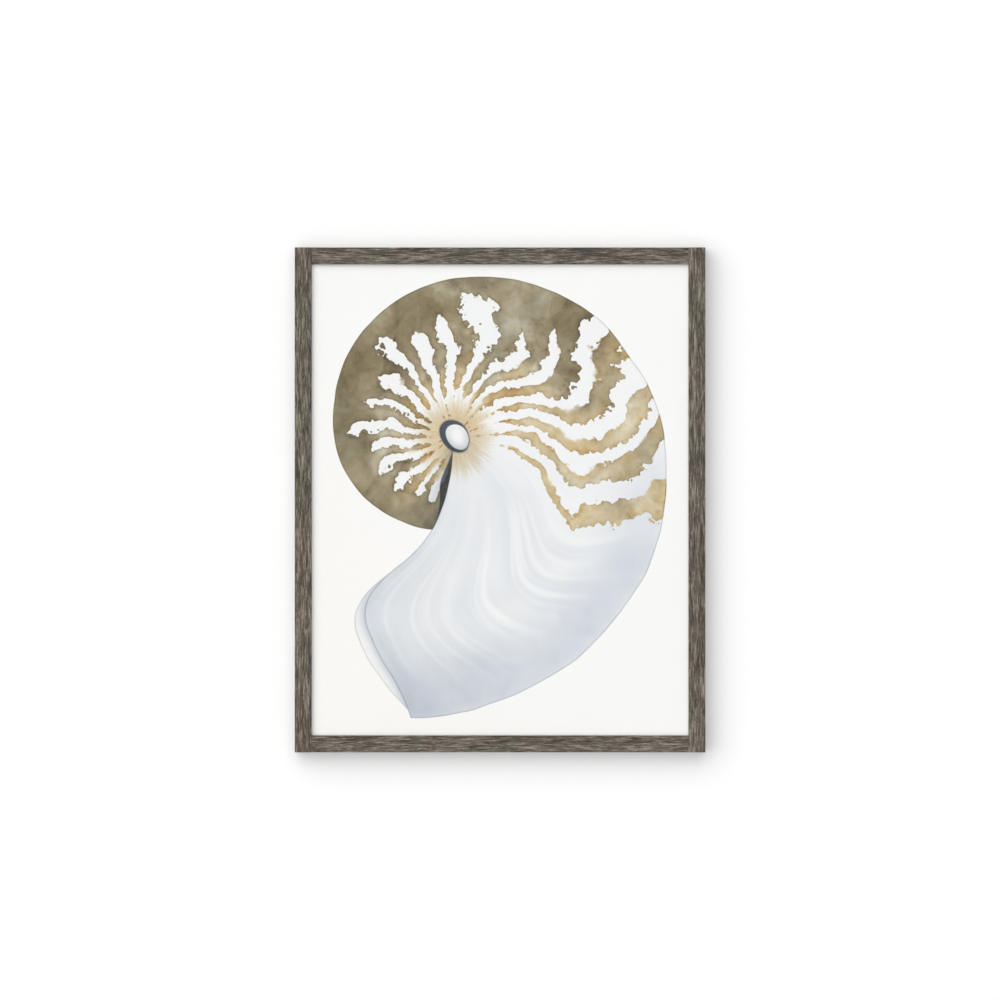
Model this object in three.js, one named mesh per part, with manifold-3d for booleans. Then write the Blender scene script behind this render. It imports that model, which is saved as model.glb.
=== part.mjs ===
// A framed picture that hangs on a wall from a sawtooth hanger.
//
// A narrow flat wooden frame with butt-jointed corners: two stiles run the full
// height and two rails stand between them. Behind the front lip a rabbet holds a
// glass pane, the printed sheet and a hardboard back, in that order, and flexible
// steel points driven into the rabbet wall keep the stack in place. A sawtooth
// hanger is nailed to the back of the top rail, a wide staple ties each corner
// joint, and two rubber pads keep the lower edge off the wall.
//
// Units are millimetres. +Z is up, +X is to the right as seen from the front, and
// the picture faces -Y. The origin is the hanging point: the apex of the middle
// notch of the sawtooth hanger, in the middle of the plate's thickness.

import * as THREE from "three";
import { mergeVertices } from "three/addons/utils/BufferGeometryUtils.js";
import Module from "manifold-3d";

// ---- driving dimensions -------------------------------------------------------
const SIGHT_W = 400; // visible opening, width
const SIGHT_H = 500; // visible opening, height
const FACE = 18; // width of the frame's front face
const DEPTH = 25; // front face to back face of the wood
const LIP = 3; // thickness of the front lip that covers the pane's edge
const RABBET = 5; // how far the rabbet is cut under the lip

const SHEET_W = 406.4; // the print, 16 in
const SHEET_H = 508; // the print, 20 in
const PANE_W = 408;
const PANE_H = 508.5;
const PANE_T = 2; // picture glass
const SHEET_T = 0.25; // heavy paper
const BOARD_T = 3; // hardboard back
const STACK_GAP = 0.125; // air between the layers of the stack

const HANG_DROP = 8.75; // hanging point below the frame's top edge
const HANGER_L = 44;
const HANGER_H = 8.5;
const HANGER_T = 0.75;
const HANGER_RISE = 2.125; // gap behind the raised middle, for the wall nail
const TOOTH = 1.75;
const TOOTH_PITCH = 3.5;
const HANGER_NAIL_X = 18;

const PAD_R = 5;
const PAD_T = 3.25; // the pads touch the wall
const PAD_UP = 26; // pad centre above the frame's bottom edge

const POINT_L = 21; // flexible point: length, width, thickness
const POINT_W = 6;
const POINT_T = 0.5;
const POINT_IN = 8; // length driven into the wood
const SIDE_POINTS = [-186, -62, 62, 186]; // along each stile, from the middle
const END_POINTS = [-125, 0, 125]; // along each rail, from the middle

// ---- derived positions --------------------------------------------------------
const OUTER_W = SIGHT_W + 2 * FACE;
const OUTER_H = SIGHT_H + 2 * FACE;
const BACK_Y = -(HANGER_RISE + HANGER_T / 2);
const FRONT_Y = BACK_Y - DEPTH;
const LIP_Y = FRONT_Y + LIP;
const TOP_Z = HANG_DROP;
const BOTTOM_Z = TOP_Z - OUTER_H;
const MID_Z = (TOP_Z + BOTTOM_Z) / 2;
const HALF_W = OUTER_W / 2;
const SIGHT_X = SIGHT_W / 2; // inner edge of a stile's face
const WALL_X = SIGHT_X + RABBET; // rabbet wall of a stile
const BACK_W = FACE - RABBET; // width of a member's back face
const SEAT_Z = BOTTOM_Z + BACK_W; // the rabbet wall that the stack stands on
const PANE_Y = LIP_Y + STACK_GAP;
const SHEET_Y = PANE_Y + PANE_T + STACK_GAP;
const BOARD_Y = SHEET_Y + SHEET_T + STACK_GAP;
const POINT_Y = BOARD_Y + BOARD_T + STACK_GAP;

const wasm = await Module();
wasm.setup();

// A closed three.js geometry as a manifold solid.
function solid(geometry) {
  const g = (
    geometry.index ? geometry.toNonIndexed() : geometry.clone()
  ).deleteAttribute("normal");
  g.deleteAttribute("uv");
  const m = mergeVertices(g, 1e-4);
  return new wasm.Manifold(
    new wasm.Mesh({
      numProp: 3,
      vertProperties: new Float32Array(m.attributes.position.array),
      triVerts: new Uint32Array(m.index.array),
    }),
  );
}

// A manifold solid as a three.js geometry.
function geometryOf(body) {
  const m = body.getMesh();
  const n = m.numProp;
  const flat = new Float32Array(m.triVerts.length * 3);
  for (let i = 0; i < m.triVerts.length; i++) {
    const v = m.triVerts[i] * n;
    flat.set(m.vertProperties.subarray(v, v + 3), i * 3);
  }
  const g = new THREE.BufferGeometry();
  g.setAttribute("position", new THREE.BufferAttribute(flat, 3));
  g.computeVertexNormals();
  return g;
}

// A box given by its two corners.
function box(x0, y0, z0, x1, y1, z1) {
  return new THREE.BoxGeometry(x1 - x0, y1 - y0, z1 - z0).translate(
    (x0 + x1) / 2,
    (y0 + y1) / 2,
    (z0 + z1) / 2,
  );
}

function shape(points) {
  return new THREE.Shape(points.map(([a, b]) => new THREE.Vector2(a, b)));
}

function cut(body, tools) {
  for (const t of tools) body = body.subtract(solid(t));
  return body;
}

// ---- materials ----------------------------------------------------------------
const wood = new THREE.MeshStandardMaterial({
  color: 0x6c645b,
  roughness: 0.78,
  metalness: 0,
});
const glass = new THREE.MeshStandardMaterial({
  color: 0xf2f6f5,
  roughness: 0.03,
  metalness: 0,
  transparent: true,
  opacity: 0.15,
});
const paper = new THREE.MeshStandardMaterial({
  color: 0xfbfaf7,
  roughness: 0.92,
  metalness: 0,
});
const hardboard = new THREE.MeshStandardMaterial({
  color: 0x7a5b3c,
  roughness: 0.7,
  metalness: 0,
});
const steel = new THREE.MeshStandardMaterial({
  color: 0x9a9b98,
  roughness: 0.38,
  metalness: 0.95,
});
const rubber = new THREE.MeshStandardMaterial({
  color: 0x2b2b2a,
  roughness: 0.8,
  metalness: 0,
});

const picture = new THREE.Group();
function add(name, geometry, material, position) {
  const mesh = new THREE.Mesh(geometry, material);
  mesh.name = name;
  if (position) mesh.position.set(...position);
  picture.add(mesh);
  return mesh;
}

// ---- flexible points and the slots they are driven into -------------------------
// Outline in a plane whose first axis runs from the wood towards the opening:
// an arrow tip in the wood and a rounded end over the board.
function pointOutline() {
  const s = new THREE.Shape();
  const w = POINT_W / 2;
  s.moveTo(-POINT_IN, 0);
  s.lineTo(-POINT_IN + 3, -w);
  s.lineTo(POINT_L - POINT_IN - w, -w);
  s.absarc(POINT_L - POINT_IN - w, 0, w, -Math.PI / 2, Math.PI / 2, false);
  s.lineTo(-POINT_IN + 3, w);
  s.closePath();
  return s;
}

// Each place: name, centre on the rabbet wall, and the turn about Y that points
// the outline's first axis into the opening.
const points = [];
const order = ["1", "2", "3", "4"];
SIDE_POINTS.forEach((z, i) => {
  points.push(["point_left_" + order[i], -WALL_X, MID_Z + z, 0]);
  points.push(["point_right_" + order[i], WALL_X, MID_Z + z, Math.PI]);
});
END_POINTS.forEach((x, i) => {
  points.push(["point_bottom_" + order[i], x, SEAT_Z, -Math.PI / 2]);
  points.push(["point_top_" + order[i], x, TOP_Z - BACK_W, Math.PI / 2]);
});

// The slot in the wood for a point, clear of the blade all round.
function slot([, x, z, turn]) {
  const l = POINT_IN + 0.75;
  return new THREE.BoxGeometry(2 * l, POINT_T + 0.5, POINT_W + 0.75)
    .rotateY(turn)
    .translate(x, POINT_Y + POINT_T / 2, z);
}

// ---- corner staples -------------------------------------------------------------
const STAPLE_SPAN = 10;
const STAPLE_W = 1.25;
const STAPLE_T = 0.75;
const STAPLE_LEG = 9;
const staples = [
  ["staple_top_left", -WALL_X, TOP_Z - BACK_W / 2],
  ["staple_top_right", WALL_X, TOP_Z - BACK_W / 2],
  ["staple_bottom_left", -WALL_X, BOTTOM_Z + BACK_W / 2],
  ["staple_bottom_right", WALL_X, BOTTOM_Z + BACK_W / 2],
];

function stapleGeometry() {
  const a = STAPLE_SPAN / 2;
  const t = STAPLE_T;
  return new THREE.ExtrudeGeometry(
    shape([
      [-a, -STAPLE_LEG],
      [-a + t, -STAPLE_LEG],
      [-a + t, 0],
      [a - t, 0],
      [a - t, -STAPLE_LEG],
      [a, -STAPLE_LEG],
      [a, t - 0.25],
      [a - 0.25, t],
      [-a + 0.25, t],
      [-a, t - 0.25],
    ]),
    { depth: STAPLE_W, bevelEnabled: false },
  ).translate(0, 0, -STAPLE_W / 2);
}

// The two pockets for one staple's legs.
function pockets([, x, z]) {
  const a = STAPLE_SPAN / 2 - STAPLE_T / 2;
  return [-1, 1].map((s) =>
    box(
      x + s * a - 0.625,
      BACK_Y - STAPLE_LEG - 0.5,
      z - 0.875,
      x + s * a + 0.625,
      BACK_Y + 1,
      z + 0.875,
    ),
  );
}

// ---- the four frame members -------------------------------------------------------
// Stiles: an L-shaped section, extruded over the whole height. The lip is at the
// front and the rabbet opens towards the picture and the back.
function stileSection(side) {
  const pts = [
    [HALF_W, FRONT_Y],
    [HALF_W, BACK_Y],
    [WALL_X, BACK_Y],
    [WALL_X, LIP_Y],
    [SIGHT_X, LIP_Y],
    [SIGHT_X, FRONT_Y],
  ].map(([x, y]) => [side * x, y]);
  return shape(side > 0 ? pts : pts.reverse());
}

function stile(side) {
  const blank = solid(
    new THREE.ExtrudeGeometry(stileSection(side), {
      depth: OUTER_H,
      bevelEnabled: false,
    }).translate(0, 0, BOTTOM_Z),
  );
  const mine = (x) => Math.sign(x) === side;
  return cut(blank, [
    ...points.filter((p) => Math.abs(p[1]) === WALL_X && mine(p[1])).map(slot),
    ...staples.filter((s) => mine(s[1])).flatMap(pockets),
  ]);
}

// Rails: the same section between the stiles' faces, with a tongue at each end
// that fills the stile's rabbet behind the lip.
function rail(end) {
  const outer = end > 0 ? TOP_Z : BOTTOM_Z;
  const wall = outer - end * BACK_W;
  const sight = outer - end * FACE;
  const lip = box(
    -SIGHT_X,
    FRONT_Y,
    Math.min(outer, sight),
    SIGHT_X,
    LIP_Y,
    Math.max(outer, sight),
  );
  const back = box(
    -WALL_X,
    LIP_Y,
    Math.min(outer, wall),
    WALL_X,
    BACK_Y,
    Math.max(outer, wall),
  );
  const holes = end > 0 ? hangerNails.map(nailHole) : [];
  return cut(solid(lip).add(solid(back)), [
    ...points.filter((p) => p[2] === wall).map(slot),
    ...staples
      .filter((s) => Math.sign(s[2] - MID_Z) === end)
      .flatMap(pockets),
    ...holes,
  ]);
}

// ---- sawtooth hanger -----------------------------------------------------------
const HANGER_Z0 = -TOOTH; // tips of the teeth; the notches reach up to Z = 0
const HANGER_MID = HANGER_Z0 + HANGER_H / 2;
const hangerNails = [
  ["hanger_nail_left", -HANGER_NAIL_X, HANGER_MID],
  ["hanger_nail_right", HANGER_NAIL_X, HANGER_MID],
];

function nailHole([, x, z]) {
  return new THREE.CylinderGeometry(1, 1, 12, 16).translate(
    x,
    BACK_Y - 12 / 2 + 1,
    z,
  );
}

function hanger() {
  const half = HANGER_L / 2;
  const rise = HANGER_RISE;
  const t = HANGER_T;
  // Section seen along Z: flat ends on the wood, a raised middle.
  const plate = new THREE.ExtrudeGeometry(
    shape([
      [-half, 0],
      [-13, 0],
      [-10, rise],
      [10, rise],
      [13, 0],
      [half, 0],
      [half, t],
      [13.25, t],
      [10.25, rise + t],
      [-10.25, rise + t],
      [-13.25, t],
      [-half, t],
    ]),
    { depth: HANGER_H, bevelEnabled: false },
  ).translate(0, BACK_Y, HANGER_Z0);
  const notch = (x) => {
    const w = TOOTH_PITCH / 2;
    return new THREE.ExtrudeGeometry(
      shape([
        [x - w, -1],
        [x + w, -1],
        [x + w - 0.25, 0.25],
        [x, TOOTH],
        [x - w + 0.25, 0.25],
      ]),
      { depth: 8, bevelEnabled: false },
    )
      .rotateX(Math.PI / 2)
      .translate(0, 4, HANGER_Z0);
  };
  const hole = (x) =>
    new THREE.CylinderGeometry(1.125, 1.125, 6, 20).translate(
      x,
      BACK_Y,
      HANGER_MID,
    );
  const corner = (sx, sz) =>
    new THREE.BoxGeometry(3, 6, 3)
      .rotateY(Math.PI / 4)
      .translate(
        sx * half,
        BACK_Y,
        sz > 0 ? HANGER_Z0 + HANGER_H : HANGER_Z0,
      );
  return cut(solid(plate), [
    ...[-2, -1, 0, 1, 2].map((i) => notch(i * TOOTH_PITCH)),
    ...hangerNails.map((n) => hole(n[1])),
    ...[
      [-1, -1],
      [-1, 1],
      [1, -1],
      [1, 1],
    ].map(([a, b]) => corner(a, b)),
  ]);
}

// Small round-headed nail, turned about its own axis, head towards +Y.
function nailGeometry() {
  const y = HANGER_T + 0.0625;
  return new THREE.LatheGeometry(
    [
      [0, -9.5],
      [0.375, -8.5],
      [0.75, -7.5],
      [0.75, y],
      [2.125, y],
      [2.25, y + 0.25],
      [1.75, y + 0.625],
      [1, y + 0.875],
      [0, y + 1],
    ].map(([r, h]) => new THREE.Vector2(r, h)),
    16,
  );
}

// Wall pad: a short rubber button with an eased rim and a flat face to the wall.
function padGeometry() {
  return new THREE.LatheGeometry(
    [
      [0, 0],
      [PAD_R, 0],
      [PAD_R, 1.25],
      [PAD_R - 0.375, 2.25],
      [PAD_R - 1, 2.875],
      [PAD_R - 1.75, PAD_T],
      [0, PAD_T],
    ].map(([r, h]) => new THREE.Vector2(r, h)),
    28,
  );
}

// ---- assembly -------------------------------------------------------------------
add("left_stile", geometryOf(stile(-1)), wood);
add("right_stile", geometryOf(stile(1)), wood);
add("top_rail", geometryOf(rail(1)), wood);
add("bottom_rail", geometryOf(rail(-1)), wood);

const standing = (w, h, y, t) =>
  box(
    -w / 2,
    y,
    SEAT_Z + STACK_GAP,
    w / 2,
    y + t,
    SEAT_Z + STACK_GAP + h,
  );
add("glass_pane", standing(PANE_W, PANE_H, PANE_Y, PANE_T), glass);
add("print_sheet", standing(SHEET_W, SHEET_H, SHEET_Y, SHEET_T), paper);
add("backing_board", standing(PANE_W, PANE_H, BOARD_Y, BOARD_T), hardboard);

for (const p of points) {
  const [name, x, z, turn] = p;
  const blade = new THREE.ExtrudeGeometry(pointOutline(), {
    depth: POINT_T,
    bevelEnabled: false,
    curveSegments: 8,
  }).rotateX(-Math.PI / 2); // the outline now lies in XZ, its thickness along +Y
  const mesh = add(name, blade, steel, [x, POINT_Y, z]);
  mesh.rotation.y = turn;
}

for (const [name, x, z] of staples)
  add(name, stapleGeometry(), steel, [x, BACK_Y, z]);

add("sawtooth_hanger", geometryOf(hanger()), steel);
for (const [name, x, z] of hangerNails)
  add(name, nailGeometry(), steel, [x, BACK_Y, z]);

const padZ = BOTTOM_Z + PAD_UP;
const padX = (HALF_W + WALL_X) / 2;
add("wall_pad_left", padGeometry(), rubber, [-padX, BACK_Y, padZ]);
add("wall_pad_right", padGeometry(), rubber, [padX, BACK_Y, padZ]);

export default picture;
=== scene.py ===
"""A framed watercolour print of a nautilus shell, hung on a pale wall."""

import math

import bmesh
import bpy
import numpy as np
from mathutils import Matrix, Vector


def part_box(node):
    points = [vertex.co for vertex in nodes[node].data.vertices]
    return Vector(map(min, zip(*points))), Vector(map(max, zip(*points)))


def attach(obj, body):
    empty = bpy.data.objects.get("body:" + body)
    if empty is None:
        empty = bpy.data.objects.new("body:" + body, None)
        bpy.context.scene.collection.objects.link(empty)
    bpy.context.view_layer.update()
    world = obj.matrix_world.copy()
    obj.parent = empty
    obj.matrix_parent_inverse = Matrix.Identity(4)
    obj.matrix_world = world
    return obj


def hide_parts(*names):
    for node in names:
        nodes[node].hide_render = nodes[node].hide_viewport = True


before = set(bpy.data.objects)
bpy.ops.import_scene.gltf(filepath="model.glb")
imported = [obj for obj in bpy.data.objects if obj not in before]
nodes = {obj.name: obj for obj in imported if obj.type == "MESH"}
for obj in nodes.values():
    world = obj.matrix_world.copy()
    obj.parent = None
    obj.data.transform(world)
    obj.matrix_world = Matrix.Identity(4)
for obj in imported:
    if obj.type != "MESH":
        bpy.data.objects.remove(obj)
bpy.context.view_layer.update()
MM = 0.001
TAU = 2 * math.pi


def mm_box(node):
    lo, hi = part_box(node)
    return np.array(lo) * 1000, np.array(hi) * 1000


# ---- places, all read from the frame ---------------------------------------------
ls_lo, ls_hi = mm_box("left_stile")
rs_lo, rs_hi = mm_box("right_stile")
tr_lo, tr_hi = mm_box("top_rail")
br_lo, br_hi = mm_box("bottom_rail")
HALF_W = float(rs_hi[0])
TOP_Z, BOTTOM_Z = float(ls_hi[2]), float(ls_lo[2])
FRONT_Y, BACK_Y = float(ls_lo[1]), float(ls_hi[1])
FACE = float(rs_hi[0] - rs_lo[0])
SIGHT_X = HALF_W - FACE
WALL_X = float(tr_hi[0])  # the tongues of a rail reach the rabbet wall
BACK_W = HALF_W - WALL_X
gl_lo, gl_hi = mm_box("glass_pane")
LIP_Y = float(gl_lo[1]) - 0.125
LIP = LIP_Y - FRONT_Y
MID_Z = (TOP_Z + BOTTOM_Z) / 2
WALL_Y = float(mm_box("wall_pad_left")[1][1])
SLOT_Y = float(sum(b[1] for b in mm_box("point_left_1"))) / 2  # the points' level


# =====================================================================================
# Node trees written as arithmetic
# =====================================================================================
class Sock:
    """An output socket that can be added, multiplied and so on."""

    def __init__(self, g, k):
        self.g, self.k = g, k

    def __add__(self, o):
        return self.g.math("ADD", self, o)

    def __radd__(self, o):
        return self.g.math("ADD", o, self)

    def __sub__(self, o):
        return self.g.math("SUBTRACT", self, o)

    def __rsub__(self, o):
        return self.g.math("SUBTRACT", o, self)

    def __mul__(self, o):
        return self.g.math("MULTIPLY", self, o)

    def __rmul__(self, o):
        return self.g.math("MULTIPLY", o, self)

    def __truediv__(self, o):
        return self.g.math("DIVIDE", self, o)

    def __rtruediv__(self, o):
        return self.g.math("DIVIDE", o, self)

    def __neg__(self):
        return self.g.math("MULTIPLY", self, -1.0)


class Graph:
    def __init__(self, name):
        self.mat = bpy.data.materials.new(name)
        self.mat.use_nodes = True
        self.nt = self.mat.node_tree
        self.nt.nodes.clear()
        self.out = self.nt.nodes.new("ShaderNodeOutputMaterial")

    def node(self, kind, **props):
        n = self.nt.nodes.new(kind)
        for k, v in props.items():
            setattr(n, k, v)
        return n

    def put(self, value, socket):
        if isinstance(value, Sock):
            self.nt.links.new(value.k, socket)
        elif value is not None:
            socket.default_value = value

    def math(self, op, *args, clamp=False):
        n = self.node("ShaderNodeMath", operation=op, use_clamp=clamp)
        for i, a in enumerate(args):
            self.put(a, n.inputs[i])
        return Sock(self, n.outputs[0])

    def sqrt(self, a):
        return self.math("SQRT", a)

    def sin(self, a):
        return self.math("SINE", a)

    def cos(self, a):
        return self.math("COSINE", a)

    def exp(self, a):
        return self.math("EXPONENT", a)

    def abs(self, a):
        return self.math("ABSOLUTE", a)

    def floor(self, a):
        return self.math("FLOOR", a)

    def fract(self, a):
        return self.math("FRACT", a)

    def least(self, a, b):
        return self.math("MINIMUM", a, b)

    def most(self, a, b):
        return self.math("MAXIMUM", a, b)

    def over(self, a, b):
        return self.math("GREATER_THAN", a, b)

    def clamp(self, a):
        return self.math("ADD", a, 0.0, clamp=True)

    def step(self, x, a, b):
        """0 at a, 1 at b, eased; a may be the larger."""
        n = self.node("ShaderNodeMapRange", interpolation_type="SMOOTHSTEP")
        self.put(x, n.inputs[0])
        self.put(a, n.inputs[1])
        self.put(b, n.inputs[2])
        n.inputs[3].default_value, n.inputs[4].default_value = 0.0, 1.0
        return Sock(self, n.outputs[0])

    def line(self, x, a, b, c=0.0, d=1.0):
        n = self.node("ShaderNodeMapRange", interpolation_type="LINEAR", clamp=True)
        for i, v in enumerate((x, a, b, c, d)):
            self.put(v, n.inputs[i])
        return Sock(self, n.outputs[0])

    def mix(self, f, a, b):
        n = self.node("ShaderNodeMix", data_type="FLOAT")
        self.put(f, n.inputs[0])
        self.put(a, n.inputs[2])
        self.put(b, n.inputs[3])
        return Sock(self, n.outputs[0])

    def bell(self, x, width):
        """exp(-(x/width)^2)"""
        t = x / width
        return self.exp(t * t * -1.0)

    def vec(self, x=0.0, y=0.0, z=0.0):
        n = self.node("ShaderNodeCombineXYZ")
        for i, v in enumerate((x, y, z)):
            self.put(v, n.inputs[i])
        return Sock(self, n.outputs[0])

    def xyz(self, v):
        n = self.node("ShaderNodeSeparateXYZ")
        self.put(v, n.inputs[0])
        return [Sock(self, n.outputs[i]) for i in range(3)]

    def place(self):
        """The object's own coordinates in millimetres."""
        n = self.node("ShaderNodeTexCoord")
        s = self.node("ShaderNodeVectorMath", operation="SCALE")
        self.nt.links.new(n.outputs["Object"], s.inputs[0])
        s.inputs[3].default_value = 1000.0
        return Sock(self, s.outputs[0])

    def noise(self, v, scale, detail=2.0, rough=0.5, lac=2.0, warp=0.0):
        n = self.node("ShaderNodeTexNoise", noise_dimensions="3D")
        self.put(v, n.inputs["Vector"])
        self.put(scale, n.inputs["Scale"])
        self.put(detail, n.inputs["Detail"])
        self.put(rough, n.inputs["Roughness"])
        self.put(lac, n.inputs["Lacunarity"])
        self.put(warp, n.inputs["Distortion"])
        return Sock(self, n.outputs[0])

    def cells(self, v, scale, feature="F1", out="Distance", jitter=1.0):
        n = self.node("ShaderNodeTexVoronoi", feature=feature)
        self.put(v, n.inputs["Vector"])
        self.put(scale, n.inputs["Scale"])
        self.put(jitter, n.inputs["Randomness"])
        return Sock(self, n.outputs[out])

    def dice(self, w):
        n = self.node("ShaderNodeTexWhiteNoise", noise_dimensions="1D")
        self.put(w, n.inputs["W"])
        return Sock(self, n.outputs["Value"])

    def attr(self, name):
        n = self.node("ShaderNodeAttribute", attribute_name=name)
        return Sock(self, n.outputs["Fac"])

    def colour(self, f, a, b, blend="MIX"):
        n = self.node("ShaderNodeMix", data_type="RGBA", blend_type=blend)
        self.put(f, n.inputs[0])
        for v, k in ((a, 6), (b, 7)):
            if isinstance(v, Sock):
                self.put(v, n.inputs[k])
            else:
                n.inputs[k].default_value = (*v, 1.0)
        return Sock(self, n.outputs[2])

    def ramp(self, f, stops, how="LINEAR"):
        n = self.node("ShaderNodeValToRGB")
        self.put(f, n.inputs[0])
        r = n.color_ramp
        r.interpolation = how
        while len(r.elements) < len(stops):
            r.elements.new(0.5)
        for e, (p, c) in zip(r.elements, stops):
            e.position = p
            e.color = (*c, 1.0)
        return Sock(self, n.outputs[0])

    def scaled(self, v, f):
        """A colour or vector times a number."""
        n = self.node("ShaderNodeVectorMath", operation="SCALE")
        if isinstance(v, Sock):
            self.put(v, n.inputs[0])
        else:
            n.inputs[0].default_value = v
        self.put(f, n.inputs[3])
        return Sock(self, n.outputs[0])

    def plus(self, a, b):
        n = self.node("ShaderNodeVectorMath", operation="ADD")
        self.put(a, n.inputs[0])
        self.put(b, n.inputs[1])
        return Sock(self, n.outputs[0])

    def bump(self, height, distance, strength=1.0, under=None):
        n = self.node("ShaderNodeBump")
        n.inputs["Strength"].default_value = strength
        n.inputs["Distance"].default_value = distance
        self.put(height, n.inputs["Height"])
        self.put(under, n.inputs["Normal"])
        return Sock(self, n.outputs[0])

    def surface(self, **sockets):
        p = self.node("ShaderNodeBsdfPrincipled")
        for k, v in sockets.items():
            name = k.replace("_", " ")
            if name == "Base Color" and not isinstance(v, Sock):
                v = (*v, 1.0)
            self.put(v, p.inputs[name])
        self.nt.links.new(p.outputs[0], self.out.inputs["Surface"])
        return p


# =====================================================================================
# Materials
# =====================================================================================
def wood(name, along):
    """Weathered, wire-brushed grey-brown wood; the grain runs along X or Z."""
    g = Graph(name)
    x, y, z = g.xyz(g.place())
    ln, ac = (z, x) if along == "Z" else (x, z)
    shift = 311.0 if along == "Z" else 77.0
    # slow wander of the grain across the member
    wander = (g.noise(g.vec(ac / 40.0, y / 40.0, ln / 70.0 + shift), 1.0, 2.0) - 0.5) * 6.0
    aw = ac + wander

    def grain(across, length, k, detail=1.0, rough=0.5):
        v = g.vec(aw / across + k * 3.7, y / across, ln / length + shift + k * 9.1)
        return g.noise(v, 1.0, detail, rough)

    hair = grain(0.80, 15.0, 1, 1.0, 0.6)
    dash = grain(0.84, 3.0, 2, 1.0, 0.5)
    fibre = grain(2.8, 28.0, 3, 3.0, 0.65)
    band = grain(5.6, 44.0, 4, 2.0, 0.5)
    thread = grain(0.27, 8.0, 5, 2.0, 0.6)
    patch = g.noise(g.vec(ac / 15.0, y / 15.0, ln / 60.0 - shift), 1.0, 2.0, 0.5)
    drift = g.noise(g.vec(ac / 60.0, y / 60.0, ln / 62.0 + shift), 1.0, 2.0)
    relief = g.attr("relief")
    # every length is a little darker towards its right edge on the stiles and its top edge on the rails
    if along == "Z":
        tilt = (x + 209.0 - g.over(x, 0.0) * 418.0) / 9.0
    else:
        tilt = (z + 0.25 + g.over(-200.0, z) * 518.0) / 9.0
    tone = (
        0.5
        + (hair - 0.5) * 1.80
        + (dash - 0.5) * 0.72
        + (fibre - 0.5) * 0.78
        + (band - 0.5) * 0.66
        + (patch - 0.5) * 0.30
        + (thread - 0.5) * 0.85
        - (relief - 0.30) * 0.22
        - g.line(tilt, -1.0, 1.0, -0.055, 0.055)
    )
    base = g.ramp(
        tone,
        [
            (0.06, (0.0444, 0.0365, 0.0284)),
            (0.30, (0.0724, 0.0598, 0.0469)),
            (0.50, (0.1052, 0.0880, 0.0706)),
            (0.68, (0.1505, 0.1273, 0.1033)),
            (0.95, (0.280, 0.2410, 0.2015)),
        ],
    )
    green = g.step(drift, 0.50, 0.66)
    warm = g.step(drift, 0.48, 0.34)
    base = g.colour(green * 0.8, base, (0.905, 1.0, 0.88), "MULTIPLY")
    base = g.colour(warm * 0.7, base, (1.035, 0.975, 0.955), "MULTIPLY")
    rub = g.attr("edge") * g.step(patch + fibre * 0.6, 0.95, 0.66)
    base = g.colour(rub * 0.22, base, (0.45, 0.43, 0.41), "MULTIPLY")
    nrm = g.bump(hair * 0.45 + dash * 0.15 + fibre * 0.2 + thread * 0.35, 0.00022, 0.55)
    g.surface(
        Base_Color=base,
        Roughness=0.68 + (1.0 - tone) * 0.20,
        Normal=nrm,
        Specular_IOR_Level=0.30,
    )
    return g.mat


def end_grain(name, along):
    g = Graph(name)
    p = g.place()
    x, y, z = g.xyz(p)
    u = x if along == "Z" else z
    wob = (g.noise(g.vec(u / 9.0, y / 9.0, 3.0), 1.0, 3.0) - 0.5) * 2.2
    r = g.sqrt((u - 170.0) * (u - 170.0) + (y - 60.0) * (y - 60.0)) + wob
    rings = g.fract(r / 1.9)
    late = g.step(rings, 0.45, 0.96)
    pores = g.step(g.cells(g.vec(u, y, 0.0), 1.9), 0.34, 0.14)
    grit = g.noise(g.vec(u, y, 0.0), 2.2, 4.0, 0.7)
    tone = 0.64 - late * 0.42 - pores * 0.35 + (grit - 0.5) * 1.3
    base = g.ramp(
        tone,
        [
            (0.05, (0.022, 0.018, 0.014)),
            (0.45, (0.080, 0.066, 0.052)),
            (0.95, (0.205, 0.176, 0.144)),
        ],
    )
    nrm = g.bump(grit - pores * 0.8 - late * 0.3, 0.00025, 0.6)
    g.surface(
        Base_Color=base, Roughness=0.84 + grit * 0.1, Normal=nrm, Specular_IOR_Level=0.25
    )
    return g.mat


def bare_wood(name, along):
    """The rabbet's machined inside: the same timber, unweathered."""
    g = Graph(name)
    x, y, z = g.xyz(g.place())
    ln, ac = (z, x) if along == "Z" else (x, z)
    fine = g.noise(g.vec(ac, y, ln / 40.0), 1.6, 4.0, 0.6)
    band = g.noise(g.vec(ac, y, ln / 80.0), 0.4, 2.0)
    base = g.ramp(
        fine * 0.6 + band * 0.4,
        [
            (0.25, (0.150, 0.098, 0.056)),
            (0.50, (0.270, 0.190, 0.118)),
            (0.75, (0.390, 0.290, 0.190)),
        ],
    )
    nrm = g.bump(fine, 0.00012, 0.4)
    g.surface(
        Base_Color=base, Roughness=0.62 + band * 0.2, Normal=nrm, Specular_IOR_Level=0.3
    )
    return g.mat


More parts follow.
